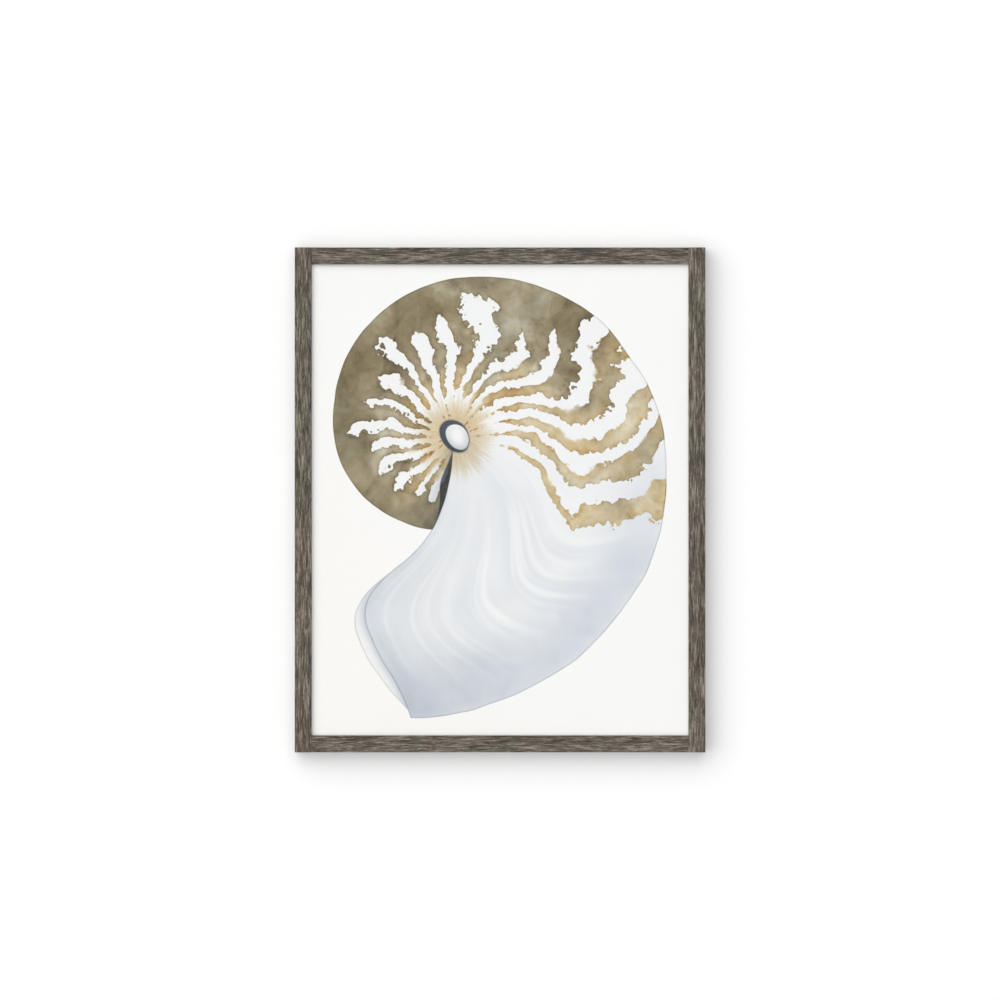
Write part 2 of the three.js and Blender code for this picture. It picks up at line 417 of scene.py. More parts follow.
def hardboard():
    """Hardboard with its screen-pressed face towards the wall."""
    g = Graph("hardboard_screen_face")
    p = g.place()
    x, y, z = g.xyz(p)
    fibre = g.noise(g.vec(x, y, z), 0.9, 6.0, 0.72, 2.1, 0.8)
    cloud = g.noise(g.vec(x, y, z), 0.02, 3.0, 0.55)
    chips = g.step(g.noise(g.vec(x, y + 9.0, z), 0.42, 4.0, 0.65, 2.0, 1.4), 0.56, 0.70)
    wx = g.sin((x + (fibre - 0.5) * 0.35) * (TAU / 1.75))
    wz = g.sin((z + (fibre - 0.5) * 0.35) * (TAU / 1.75))
    screen = g.abs(wx) * g.abs(wz)
    worn = g.step(cloud, 0.35, 0.65)
    base = g.ramp(
        fibre * 0.76 + cloud * 0.14 + screen * 0.16,
        [
            (0.22, (0.060, 0.031, 0.014)),
            (0.45, (0.150, 0.084, 0.040)),
            (0.62, (0.225, 0.135, 0.070)),
            (0.85, (0.330, 0.215, 0.125)),
        ],
    )
    base = g.colour(chips * 0.30, base, (0.085, 0.046, 0.022))
    nrm = g.bump(screen * (0.6 + worn * 0.4) + fibre * 0.4, 0.00022, 0.75)
    g.surface(
        Base_Color=base,
        Roughness=0.58 + fibre * 0.22,
        Normal=nrm,
        Specular_IOR_Level=0.35,
    )
    return g.mat


def zinc_steel(name="zinc_plated_steel", along="X"):
    g = Graph(name)
    x, y, z = g.xyz(g.place())
    a, b = (x, z) if along == "X" else (z, x)
    brush = g.noise(g.vec(a / 14.0, y, b), 5.5, 4.0, 0.65)
    spangle = g.cells(g.vec(x, y, z), 0.55, out="Color")
    sp = g.xyz(spangle)[0]
    stain = g.noise(g.vec(x, y, z), 0.16, 4.0, 0.6)
    base = g.ramp(
        brush * 0.55 + sp * 0.25 + stain * 0.2,
        [
            (0.2, (0.36, 0.36, 0.355)),
            (0.5, (0.56, 0.56, 0.555)),
            (0.8, (0.74, 0.735, 0.72)),
        ],
    )
    dull = g.step(stain, 0.52, 0.68)
    base = g.colour(dull * 0.5, base, (0.33, 0.315, 0.29))
    rough = 0.27 + (brush - 0.4) * 0.3 + sp * 0.06 + dull * 0.22
    nrm = g.bump(brush, 0.00004, 0.35)
    g.surface(Base_Color=base, Metallic=0.96, Roughness=rough, Normal=nrm)
    return g.mat


def rubber():
    g = Graph("wall_pad_rubber")
    x, y, z = g.xyz(g.place())
    fine = g.noise(g.vec(x, y, z), 3.4, 4.0, 0.7)
    dust = g.noise(g.vec(x, y, z), 0.45, 4.0, 0.6)
    base = g.ramp(
        fine * 0.5 + dust * 0.5,
        [
            (0.3, (0.014, 0.014, 0.0135)),
            (0.52, (0.026, 0.026, 0.025)),
            (0.72, (0.060, 0.058, 0.054)),
        ],
    )
    nrm = g.bump(fine, 0.00006, 0.5)
    g.surface(
        Base_Color=base, Roughness=0.7 + dust * 0.2, Normal=nrm, Specular_IOR_Level=0.4
    )
    return g.mat


def picture_glass():
    """Thin clear glass: straight through, with a soft clean reflection."""
    g = Graph("picture_glass")
    x, y, z = g.xyz(g.place())
    smear = g.noise(g.vec(x, y, z), 0.018, 4.0, 0.6, 2.0, 0.6)
    clear = g.node("ShaderNodeBsdfTransparent")
    clear.inputs[0].default_value = (0.990, 0.9905, 0.990, 1.0)
    gloss = g.node("ShaderNodeBsdfGlossy")
    gloss.inputs["Color"].default_value = (1.0, 1.0, 1.0, 1.0)
    g.put(0.035 + smear * 0.05, gloss.inputs["Roughness"])
    fres = g.node("ShaderNodeFresnel")
    fres.inputs["IOR"].default_value = 1.28
    mix = g.node("ShaderNodeMixShader")
    # thin glass mirrors from outside only: straight rays never turn back inside it
    geo = g.node("ShaderNodeNewGeometry")
    outside = 1.0 - Sock(g, geo.outputs["Backfacing"])
    g.put(Sock(g, fres.outputs[0]) * outside, mix.inputs[0])
    g.nt.links.new(clear.outputs[0], mix.inputs[1])
    g.nt.links.new(gloss.outputs[0], mix.inputs[2])
    g.nt.links.new(mix.outputs[0], g.out.inputs["Surface"])
    return g.mat


# ---- the printed picture ------------------------------------------------------------
# A nautilus in side view as a logarithmic spiral. A revolution widens it GROWTH
# times, and the last revolution is all that shows, because each whorl of a
# nautilus wraps the one before it.
GROWTH = 3.05
REACH = 300.0  # pole to the outer end of the aperture
END = math.radians(-97.0)  # direction of that end
B = math.log(GROWTH) / TAU
LIP_A, LIP_C, LIP_S = 0.37, 0.60, 0.25  # forward bulge of the aperture's edge


def spiral_outline():
    """The outline's points round the pole, for centring the shell on the sheet."""
    th = np.linspace(0, TAU, 400)
    r = REACH * np.exp(-B * th)
    a = END + th
    pts = [np.stack([r * np.cos(a), r * np.sin(a)], 1)]
    q = np.linspace(0.3, 1, 100)
    d = LIP_A * np.exp(-(((q - LIP_C) / LIP_S) ** 2))
    rr = q * REACH * np.exp(B * d)
    pts.append(np.stack([rr * np.cos(END - d), rr * np.sin(END - d)], 1))
    return np.concatenate(pts)


_o = spiral_outline()
POLE_X = float(-(_o[:, 0].min() + _o[:, 0].max()) / 2)
POLE_Z = float(-(_o[:, 1].min() + _o[:, 1].max()) / 2) + 3.0


def absorb(srgb, white=(252, 251, 248)):
    """How much a wash of this colour takes from each channel of the paper."""

    def lin(v):
        v = v / 255.0
        return v / 12.92 if v <= 0.04045 else ((v + 0.055) / 1.055) ** 2.4

    return tuple(math.log(lin(w) / lin(c)) for c, w in zip(srgb, white))


OLIVE = absorb((155, 142, 111))
UMBER = absorb((121, 107, 77))
MOSS = absorb((152, 146, 119))
GOLD = absorb((194, 167, 112))
SAND = absorb((210, 189, 145))
AMBER = absorb((182, 144, 88))
MIST = absorb((213, 218, 223))
LILAC = absorb((205, 208, 220))
SLATE = absorb((120, 128, 136))
STRAW = absorb((224, 204, 168))
INK = absorb((78, 84, 92))
PAPER = (0.868, 0.864, 0.857)


def watercolour():
    g = Graph("printed_watercolour_sheet")
    X0, Y0, Z0 = g.xyz(g.place())
    Z0 = Z0 - MID_Z
    # a hand-drawn line is never quite true
    wob = g.noise(g.vec(X0, 0.0, Z0), 0.016, 2.0, 0.4)
    wob2 = g.noise(g.vec(X0, 40.0, Z0), 0.016, 2.0, 0.4)
    X = X0 + (wob - 0.5) * 7.0
    Z = Z0 + (wob2 - 0.5) * 7.0

    def n(scale, detail=2.0, rough=0.5, seed=0.0, warp=0.0):
        return g.noise(g.vec(X0, seed * 53.7 + 11.0, Z0), scale, detail, rough, 2.0, warp)

    def lobes(scale, seed):
        return g.cells(g.vec(X0, seed * 31.3 + 5.0, Z0), scale)

    x, z = X - POLE_X, Z - POLE_Z
    r = g.sqrt(x * x + z * z)
    ang = g.math("ARCTAN2", z, x)
    ph = g.math("FLOORED_MODULO", END - ang, TAU)
    rout = (REACH / GROWTH) * g.exp(ph * B)
    rho = r / rout

    def lip(q):
        return LIP_A * g.bell(q - LIP_C, LIP_S)

    rho2 = rho / GROWTH
    ahead = (lip(rho2) - ph) * r  # mm inside the aperture's edge
    over = g.over(ahead, 0.0) * g.over(1.0, rho2)
    widen = 1.0 + over * (GROWTH - 1.0)
    rs = rho / widen
    edge = (1.0 - rs) * rout * widen  # mm inside the outline
    t = ph + over * TAU - lip(rs)  # 0 behind the aperture's edge, TAU at it
    shell = g.step(edge, -0.35, 0.15)

    lag = ph + over * TAU
    line = t + lip(rs) * 0.62 * g.step(lag, 4.7, 2.6)
    body = g.step(t, 3.55, 4.45)  # the pale front of the last whorl
    tip = g.step(t, TAU - 0.9, TAU)

    # ---- stripes: bare gaps that open in the pigment and close before the keel
    PITCH = 0.268
    bend = (n(0.010, 1.0, 0.5, 1) - 0.5) * 1.5 + (n(0.036, 2.0, 0.5, 2) - 0.5) * 0.9
    u = line * (1.0 / PITCH) + bend
    gap = g.floor(u)
    band = g.floor(u + 0.5)  # the stripe's own number
    h1, h2 = g.dice(gap + 0.31), g.dice(gap + 7.77)
    b1, b2 = g.dice(band + 3.13), g.dice(band + 5.71)
    fr = g.fract(u)
    mid = g.abs(fr - 0.5) * 2.0  # 0 in the gap's middle, 1 in the stripe's
    fore = g.step(fr, 0.40, 0.60)  # the side of a gap that faces the aperture
    close = 0.72 + h1 * 0.22 + body * 0.9
    start = 0.15 + (n(0.03, 2.0, 0.5, 3) - 0.5) * 0.16 + b2 * 0.05
    wide = g.mix(g.step(rs, start, start + 0.13), 1.10, 0.47 + (h2 - 0.5) * 0.20)
    wide = wide * (1.0 - 0.16 * g.step(rs, 0.50, 0.92) * (1.0 - body))
    wide = wide * g.step(rs, close, close - 0.11)
    fade = g.step(t + (n(0.014, 2.0, 0.5, 4) - 0.5) * 1.5 - rs * 0.30, 4.20, 5.3)
    wide = wide + fade * (0.22 + 0.40 * g.step(rs, 0.95, 0.4)) + g.step(
        t + (n(0.020, 2.0, 0.5, 5) - 0.5) * 0.9 + b1 * 0.25, 5.05, 5.45
    ) * 1.1
    inset = (mid - wide) * r * (PITCH / 2)
    big = 0.50 + r * 0.0044
    warm0 = n(0.030, 2.0, 0.5, 26)
    torn = (n(0.055, 3.0, 0.55, 6) - 0.5) * 9.0
    torn = torn + (0.50 - lobes(0.125, 1)) * 7.0 * g.mix(fore, 1.0, 0.45)
    torn = torn + (0.50 - lobes(0.27, 2)) * 5.0 * g.mix(fore, 1.0, 0.65)
    torn = torn + (n(0.50, 3.0, 0.7, 21) - 0.5) * 3.2
    inset = inset + torn * g.least(big, 1.3)
    inset = inset + g.step(rs, close - 0.06, close + 0.05) * 9.0
    inset = inset - g.step(t + (warm0 - 0.5) * 0.25, 4.95, 5.08) * 40.0
    soft = g.step(n(0.018, 2.0, 0.5, 7), 0.50, 0.66) * fore
    w = 0.20 + soft * 4.2
    paint = g.step(inset, -w, w)

    # ---- how much pigment lies in a stripe
    cloud = n(0.017, 3.0, 0.55, 8, 0.7)
    pool = n(0.052, 4.0, 0.6, 9, 0.9)
    grain = n(1.05, 3.0, 0.7, 10)
    fibre = n(0.42, 3.0, 0.6, 11)
    keel = g.step(rs, 0.50, 0.95) * (1.0 - body)
    load = (
        0.80
        + (cloud - 0.5) * 1.5
        + (pool - 0.5) * 0.9
        + keel * 0.30
        + (b1 - 0.5) * 0.22
        - body * 0.02
        - g.step(rs, 0.5, 0.2) * 0.08
        - g.step(t, 4.6, 5.3) * 0.22
    )
    dry = (1.0 - soft) * (0.30 + pool * 0.75)
    rim = g.bell(inset - 0.8, 0.85) * dry * 0.62
    bank = g.bell(inset - 2.2, 3.0) * dry * 0.20
    # tide marks, where one wash dried before the next
    tmark = g.noise(g.vec(X0, 5.0, Z0), 0.020, 4.0, 0.55, 2.0, 0.8)
    tide = g.bell(g.abs(tmark - 0.55), 0.010) * g.step(cloud, 0.46, 0.60)
    load = (load + rim + bank + tide * 0.16) * (0.90 + grain * 0.20)
    load = g.most(load, 0.25) * paint * shell

    # hue: olive on the coil, sand and gold near the middle and on the front
    warm = n(0.015, 2.0, 0.5, 12, 0.5)
    warm2 = n(0.042, 3.0, 0.5, 22, 0.6)
    sandy = g.clamp(
        g.step(rs, 0.66, 0.26) * 0.75
        + body * 0.85
        + (warm - 0.5) * 3.0
        + (b2 - 0.5) * 0.45
        + (warm2 - 0.5) * 1.2
        - keel * 0.35
        - 0.06
    )
    deep = g.step(n(0.022, 3.0, 0.5, 13, 0.5), 0.50, 0.68) * (1.0 - body * 0.75)
    mossy = g.step(n(0.019, 2.0, 0.5, 23, 0.3), 0.52, 0.66) * (1.0 - body * 0.6)
    glow = g.step(n(0.030, 2.0, 0.5, 14), 0.50, 0.66) * g.step(rs, 0.62, 0.32)
    richer = g.step(n(0.036, 3.0, 0.5, 24, 0.5), 0.48, 0.62)
    sand = g.colour(richer, tuple(k * 1.05 for k in SAND), GOLD)
    pig = g.colour(mossy * 0.8, OLIVE, MOSS)
    pig = g.colour(deep * 0.85, pig, UMBER)
    pig = g.colour(sandy, pig, sand)
    pig = g.colour(glow * 0.8, pig, AMBER)
    A = g.scaled(pig, load)

    # ---- pale washes of the shell itself
    streak = g.noise(g.vec(t * 4.4, rs * 1.3, 4.0), 1.0, 3.0, 0.55)
    folds = g.noise(g.vec(t * 13.0 + (streak - 0.5) * 1.6, rs * 1.1, 9.0), 1.0, 1.0, 0.5)
    ridge = g.step(folds, 0.50, 0.72) * g.step(rs, 0.25, 0.50) * g.step(rs, 0.95, 0.70)
    lower = g.step(t, 4.2, 5.4)
    form = g.step(rs, 0.66, 0.93) * g.step(rs, 1.035, 0.965)
    wash = (
        0.05
        + n(0.018, 3.0, 0.5, 15) * 0.18
        + lower * (0.08 + n(0.022, 3.0, 0.5, 25, 0.4) * 0.46)
        + lower * form * (0.12 + n(0.03, 4.0, 0.6, 16, 0.5) * 0.72)
        + lower * (streak - 0.5) * 0.7
        + tip * 0.16 * g.step(rs, 0.2, 0.5)
        + g.step(t, TAU - 0.20, TAU) * g.step(rs, 0.25, 0.6) * (0.15 + pool * 0.55)
    )
    wash = wash * (1.0 - ridge * lower * 0.6)
    wash = g.most(wash, 0.02) * (0.92 + grain * 0.16) * shell
    wash = wash * (1.0 - paint * 0.7)
    mist = g.colour(g.step(rs, 0.70, 0.92) * 0.18, MIST, LILAC)

    # ---- the brushed halo round the umbilicus
    ca_, sa_ = g.cos(ang), g.sin(ang)
    spin = g.noise(g.vec(ca_ * 7.0, sa_ * 7.0, r * 0.02), 1.0, 2.0, 0.6)
    hairs = g.noise(g.vec(ca_ * 27.0, sa_ * 27.0, r * 0.030 + 7.0), 1.0, 2.0, 0.65)
    reachd = r + (spin - 0.5) * 34.0 + (hairs - 0.5) * 62.0
    halo = g.step(reachd, 50.0, 30.0)
    depth = g.step(r, 52.0, 16.0)
    halo = halo * (0.35 + depth * 0.75 + (hairs - 0.5) * 1.7 + (cloud - 0.5) * 0.6)
    halo = g.most(halo, 0.0)

    # ---- the umbilicus: a shallow hollow, closed by a pale callus
    ca, sa = math.cos(math.radians(32)), math.sin(math.radians(32))
    hx_, hz_ = x * ca + z * sa, z * ca - x * sa
    ex, ez = hx_ / 13.8, hz_ / 18.4
    er = g.sqrt(ex * ex + ez * ez)
    fx, fz = (hx_ - 1.9) / 11.3, (hz_ + 2.6) / 15.0
    fr2 = g.sqrt(fx * fx + fz * fz)
    callus = g.step(er, 1.04, 0.96)
    crescent = callus * g.step(fr2, 0.93, 1.05)
    under = g.clamp(0.45 - (ez * 0.55 + ex * 0.25)) * g.step(fr2, 0.2, 1.0)
    hollow = callus * (0.08 + under * 0.75 + (n(0.09, 3.0, 0.5, 17) - 0.5) * 0.25)
    ring = g.bell((er - 1.02) * 13.8, 0.8) * 0.45
    keep = 1.0 - callus

    # ---- the shadow that the last whorl throws on the coil behind it
    behind = g.most(ahead * -1.0, 0.0)
    reach = 6.0 + r * 0.09
    cast = g.exp(behind / reach * -1.0) * (1.0 - over) * g.step(rho, 1.02, 0.98)
    cast = cast * g.step(ph, 1.2, 0.2) * (0.8 + (cloud - 0.5) * 0.8)

    # ---- the dark film that the animal leaves on the coil, just inside the mouth
    thick = 8.5 * g.bell(r - 50.0, 24.0) + (n(0.07, 3.0, 0.5, 27) - 0.5) * 2.4
    film = g.step(behind, thick + 0.7, thick - 0.7) * g.step(thick, 0.5, 2.2)
    film = film * (1.0 - over) * g.step(rho, 1.02, 0.98) * g.step(ph, 1.2, 0.9)
    film = film * (0.75 + (cloud - 0.5) * 0.8 + (pool - 0.5) * 0.5)

    # ---- the far side of the mouth, showing a little past the near one
    beyond = ahead * -1.0
    peek = 17.0 * g.bell(rho2 - 0.79, 0.17) * g.step(rho2, 0.995, 0.90)
    peek = peek + (n(0.04, 2.0, 0.5, 28) - 0.5) * 2.0
    where = (1.0 - over) * g.over(1.0, rho2) * g.over(rho, 1.0) * g.over(1.2, ph) * g.step(peek, 0.4, 2.0)
    far = g.step(beyond, peek + 0.4, peek - 0.4) * where
    farline = g.bell(beyond - peek, 0.65) * where * g.over(beyond, 0.3)

    # ---- drawn lines
    touch = 0.60 + (n(0.05, 3.0, 0.6, 18) - 0.5) * 1.1
    outer = g.bell(edge - 0.45, 0.65) * touch * shell
    lipline = g.bell(g.abs(ahead) - 0.1, 0.6) * g.over(1.0, rho2) * g.step(ph, 1.0, 0.6)
    lipline = lipline * touch * g.step(r, 12.0, 22.0)

    A = g.scaled(A, keep)
    for k, d in (
        (STRAW, halo * keep * shell * (1.0 - paint * 0.35)),
        (mist, wash * keep),
        (SLATE, (cast * 0.62 * keep + ring + hollow * 0.42 + crescent * 1.7) * shell),
        (INK, film * keep * shell),
        (MIST, far * (0.22 + g.bell(beyond, 6.0) * 0.85 + (cloud - 0.5) * 0.3)),
        (SLATE, farline * touch * 0.42),
        (UMBER, outer * paint * 0.42),
        (SLATE, outer * (1.0 - paint) * 0.40 + lipline * 0.50 * keep),
    ):
        A = g.plus(A, g.scaled(k, d))
    # the bare sheet
    age = n(0.0045, 2.0, 0.5, 19)
    corner = g.step(Z0 * 0.6 + X0, 40.0, -260.0)
    A = g.plus(A, g.scaled((0.004, 0.012, 0.034), corner * 0.8 + g.step(age, 0.5, 0.8) * 0.3))
    A = g.plus(A, g.scaled((0.012, 0.012, 0.013), fibre))
    ax, ay, az = g.xyz(A)
    col = g.vec(PAPER[0] * g.exp(-ax), PAPER[1] * g.exp(-ay), PAPER[2] * g.exp(-az))
    tooth = n(0.85, 4.0, 0.6, 20)
    nrm = g.bump(tooth + fibre * 0.5, 0.00006, 0.4)
    g.surface(
        Base_Color=col,
        Roughness=0.86 + tooth * 0.08,
        Normal=nrm,
        Specular_IOR_Level=0.12,
    )
    return g.mat


def paper_back():
    """The unprinted reverse and the cut edges of the sheet."""
    g = Graph("watercolour_paper_reverse")
    x, y, z = g.xyz(g.place())
    tooth = g.noise(g.vec(x, y, z), 0.85, 4.0, 0.6)
    fibre = g.noise(g.vec(x, y + 70.0, z), 0.30, 4.0, 0.65, 2.0, 1.2)
    tone = g.noise(g.vec(x, y, z), 0.012, 3.0, 0.5)
    base = g.ramp(
        fibre * 0.5 + tooth * 0.2 + tone * 0.3,
        [
            (0.30, (0.800, 0.785, 0.745)),
            (0.50, (0.850, 0.840, 0.815)),
            (0.70, (0.875, 0.868, 0.850)),
        ],
    )
    nrm = g.bump(tooth + fibre * 0.4, 0.00007, 0.5)
    g.surface(
        Base_Color=base, Roughness=0.86 + tooth * 0.08, Normal=nrm, Specular_IOR_Level=0.12
    )
    return g.mat


# =====================================================================================
# Meshes
# =====================================================================================
def vnoise(p, seed):
    """Smooth value noise of points p (n, 3), 0 to 1, the same on every run."""
    i = np.floor(p).astype(np.int64)
    f = p - i
    f = f * f * (3 - 2 * f)
    total = np.zeros(len(p))
    for dx in (0, 1):
        for dy in (0, 1):
            for dz in (0, 1):
                h = (
                    (i[:, 0] + dx) * 73856093
                    ^ (i[:, 1] + dy) * 19349663
                    ^ (i[:, 2] + dz) * 83492791
                    ^ (seed * 2654435761)
                ) & 0xFFFFFFFF
                h = (h ^ (h >> 15)) * 2246822519 & 0xFFFFFFFF
                h = (h ^ (h >> 13)) * 3266489917 & 0xFFFFFFFF
                h = (h ^ (h >> 16)) & 0xFFFF
                wx = f[:, 0] if dx else 1 - f[:, 0]
                wy = f[:, 1] if dy else 1 - f[:, 1]
                wz = f[:, 2] if dz else 1 - f[:, 2]
                total += wx * wy * wz * (h / 65535.0)
    return total


def stations(marks, step):
    """Sorted places through every mark, no further apart than step."""
    marks = sorted(set(round(m, 5) for m in marks))
    out = [marks[0]]
    for a, b in zip(marks, marks[1:]):
        n = max(1, math.ceil((b - a) / step - 1e-6))
        out += list(np.linspace(a, b, n + 1)[1:])
    return np.array(out)


class Section:
    """The moulding's outline: q from the outer face inwards, y in depth."""

    CORNERS = [  # q, y, radius
        (FACE, FRONT_Y, 0.55),
        (0.0, FRONT_Y, 0.75),
        (0.0, BACK_Y, 0.55),
        (BACK_W, BACK_Y, 0.35),
        (BACK_W, LIP_Y, 0.0),
        (FACE, LIP_Y, 0.3),
    ]
    STEPS = (0.42, 0.52, 0.6, 2.4, 1.6, 0.5)
    ROUGH = (1.0, 1.0, 0.55, 0.0, 0.0, 0.7)

    def __init__(self, marks):
        q, y, nq, ny, rough, edge, face = [], [], [], [], [], [], []
        c = self.CORNERS
        for k in range(6):
            (q0, y0, r0), (q1, y1, r1) = c[k], c[(k + 1) % 6]
            d = np.array([q1 - q0, y1 - y0])
            length = float(np.hypot(*d))
            d /= length
            nn = np.array([-d[1], d[0]])  # made to point outwards below
            if k in (0, 1, 2, 3, 4, 5):
                nn = {
                    0: np.array([0.0, -1.0]),
                    1: np.array([-1.0, 0.0]),
                    2: np.array([0.0, 1.0]),
                    3: np.array([1.0, 0.0]),
                    4: np.array([0.0, 1.0]),
                    5: np.array([1.0, 0.0]),
                }[k]
            at = [r0, length - r1] + [
                abs((m - (q0 if abs(d[0]) > 0.5 else y0))) for m in marks.get(k, [])
            ]
            for s in stations(at, self.STEPS[k])[0 if r0 > 0 else 1 :]:
                q.append(q0 + d[0] * s)
                y.append(y0 + d[1] * s)
                nq.append(nn[0])
                ny.append(nn[1])
                rough.append(self.ROUGH[k])
                edge.append(min(s, length - s))
                face.append(k)
            if r1 > 0:  # the eased corner after this edge
                n1 = {
                    0: np.array([-1.0, 0.0]),
                    1: np.array([0.0, 1.0]),
                    2: np.array([1.0, 0.0]),
                    4: np.array([1.0, 0.0]),
                    5: np.array([0.0, -1.0]),
                }[k]
                centre = np.array([q1, y1]) - (nn + n1) * r1
                for a in (0.25, 0.5, 0.75):
                    v = nn * math.cos(a * math.pi / 2) + n1 * math.sin(a * math.pi / 2)
                    q.append(centre[0] + v[0] * r1)
                    y.append(centre[1] + v[1] * r1)
                    nq.append(v[0])
                    ny.append(v[1])
                    rough.append((self.ROUGH[k] + self.ROUGH[(k + 1) % 6]) / 2)
                    edge.append(0.0)
                    face.append(10 + k)
        self.q, self.y = np.array(q), np.array(y)
        self.nq, self.ny = np.array(nq), np.array(ny)
        self.rough, self.edge = np.array(rough), np.array(edge)
        self.face = np.array(face)
        ahead = np.roll(np.stack([self.q, self.y]), -1, axis=1)
        here = np.stack([self.q, self.y])
        self.around = np.concatenate([[0.0], np.cumsum(np.hypot(*(ahead - here)))])

    def index(self, face, value):
        """The sample on a face whose free coordinate is value."""
        ok = np.where(self.face == face)[0]
        c = self.q if face in (0, 2, 4) else self.y
        return int(ok[np.argmin(np.abs(c[ok] - value))])


def member(name, along, sign, rail, mats, slots_at, staples_at, nails_at=()):
    """One frame member. along, the axis of its length, is not used; sign is the side it is on.
    Material 0 is the weathered face, 1 the machined rabbet, 2 the end grain."""
    marks = {
        1: [LIP_Y],
        2: [s for a, b, _, _, _ in staples_at + list(nails_at) for s in (a, b)],
        3: [SLOT_Y - 0.5, SLOT_Y + 0.5],
    }
    sec = Section(marks)
    n = len(sec.q)
    lo, hi = (-WALL_X, WALL_X) if rail else (BOTTOM_Z, TOP_Z)
    rows_at = [lo, lo + 0.1, lo + 0.4, hi - 0.4, hi - 0.1, hi, (lo + hi) / 2]
    for a, b in slots_at:
        rows_at += [a, b]
    for _, _, a, b, _ in staples_at + list(nails_at):
        rows_at += [a, b]
    if rail:
        rows_at += [-SIGHT_X, -SIGHT_X + 0.12, SIGHT_X - 0.12, SIGHT_X]
    rows = stations(rows_at, 2.15)
    m = len(rows)

    def row(v):
        return int(np.argmin(np.abs(rows - v)))

    S, L = np.meshgrid(np.arange(n), rows, indexing="ij")
    Q, Y = sec.q[S], sec.y[S]
    NQ, NY = sec.nq[S], sec.ny[S]
    rough = sec.rough[S]
    # wire-brushed relief: long soft valleys between harder ridges
    seed = {"left": 3, "right": 5, "top": 7, "bottom": 11}[name.split("_")[0]]
    P = np.stack([Q.ravel(), Y.ravel(), L.ravel()], 1)

    def f(across, length, k):
        return vnoise(P / np.array([across, across, length]) + 100.0, seed * 17 + k)

    wander = (vnoise(P / np.array([40.0, 40.0, 90.0]) + 50.0, seed) - 0.5) * 4.0
    P = P + np.stack([wander, wander * 0.3, np.zeros(len(P))], 1)
    fine = f(1.05, 11.0, 1)
    mids = f(2.1, 30.0, 2)
    wide = f(6.0, 120.0, 3)
    crack = f(1.35, 26.0, 4)
    groove = np.clip((fine * 0.55 + mids * 0.45 - 0.42) / 0.38, 0, 1)
    groove = groove * groove * (3 - 2 * groove)
    split = np.clip((crack - 0.80) / 0.12, 0, 1) * np.clip((f(9.0, 70.0, 5) - 0.45) / 0.2, 0, 1)
    depth = 0.015 + 0.17 * groove + 0.10 * wide + 0.26 * split
    relief = np.clip(0.75 * groove + 0.8 * split, 0, 1).reshape(Q.shape)
    depth = depth.reshape(Q.shape) * rough
    relief = relief * np.minimum(1.0, rough * 1.5)

    inset = np.zeros_like(Q)
    ends = [(lo, 0.15), (lo + 0.1, 0.05), (hi, 0.15), (hi - 0.1, 0.05)]
    outside = ~np.isin(sec.face, (3, 4))  # the rabbet stays sharp at the joints
    for v, a in ends:
        inset[outside, row(v)] = a
        depth[:, row(v)] *= 0.2 if a > 0.1 else 0.5
    kl = sec.index(1, LIP_Y)  # on the outer face, level with the lip's back
    kc = sec.index(3, LIP_Y)  # the rabbet's inner corner
    lip_ids = []
    if rail:
        i = kc
        while True:
            lip_ids.append(i)
            if i == kl:
                break
            i = (i + 1) % n
        inner = lip_ids[1:-1]
        for v in (-SIGHT_X, SIGHT_X):
            inset[inner, row(v)] = np.where(np.isin(sec.face[inner], (4,)), 0.0, 0.10)
            depth[inner, row(v)] *= 0.2
    # an eased corner is never worn past the middle of its own rounding
    most = np.array([Section.CORNERS[(f - 9) % 6][2] * 0.8 if f >= 10 else 0.8 for f in sec.face])
    worn = np.minimum(depth + inset, most[:, None])
    Q2 = Q - NQ * worn
    Y2 = Y - NY * worn
    if not rail:
        X3, Z3 = sign * (HALF_W - Q2), L
    else:
        X3, Z3 = L, (TOP_Z - Q2 if sign > 0 else BOTTOM_Z + Q2)
    verts = np.stack([X3.ravel(), Y2.ravel(), Z3.ravel()], 1)
    idx = np.arange(n * m).reshape(n, m)

    bm = bmesh.new()
    rel = bm.verts.layers.float.new("relief")
    edg = bm.verts.layers.float.new("edge")
    uv = bm.loops.layers.uv.new("OFBake")
    vs = [bm.verts.new(Vector(v * MM)) for v in verts]
    rl = relief.ravel()
    eg = np.repeat(np.clip(1 - sec.edge / 1.3, 0, 1), m)
    for v, a, b in zip(vs, rl, eg):
        v[rel], v[edg] = float(a), float(b)
    half = (lo + hi) / 2
    around = sec.around / sec.around[-1]

    def lay(face, coords):
        for loop, c in zip(face.loops, coords):
            loop[uv].uv = c

    def uv_of(k, j, chunk):
        s = rows[j]
        a = (s - lo) / (half - lo) if chunk == 0 else (s - half) / (hi - half)
        return (0.004 + 0.992 * a, 0.006 + chunk * 0.475 + 0.46 * around[k])

    holes = set()
    pockets = []

    def pocket(i0, i1, j0, j1, deep, normal):
        pockets.append((i0, i1, j0, j1, deep, normal))
        for i in range(i0, i1):
            for j in range(j0, j1):
                holes.add((i, j))

    for a, b in slots_at:  # on the rabbet wall
        i0, i1 = sorted((sec.index(3, SLOT_Y - 0.5), sec.index(3, SLOT_Y + 0.5)))
        pocket(i0, i1, row(a), row(b), 8.75, (1.0, 0.0))
    for a, b, c, d, deep in list(staples_at) + list(nails_at):  # on the back face
        i0, i1 = sorted((sec.index(2, a), sec.index(2, b)))
        pocket(i0, i1, row(c), row(d), deep, (0.0, 1.0))

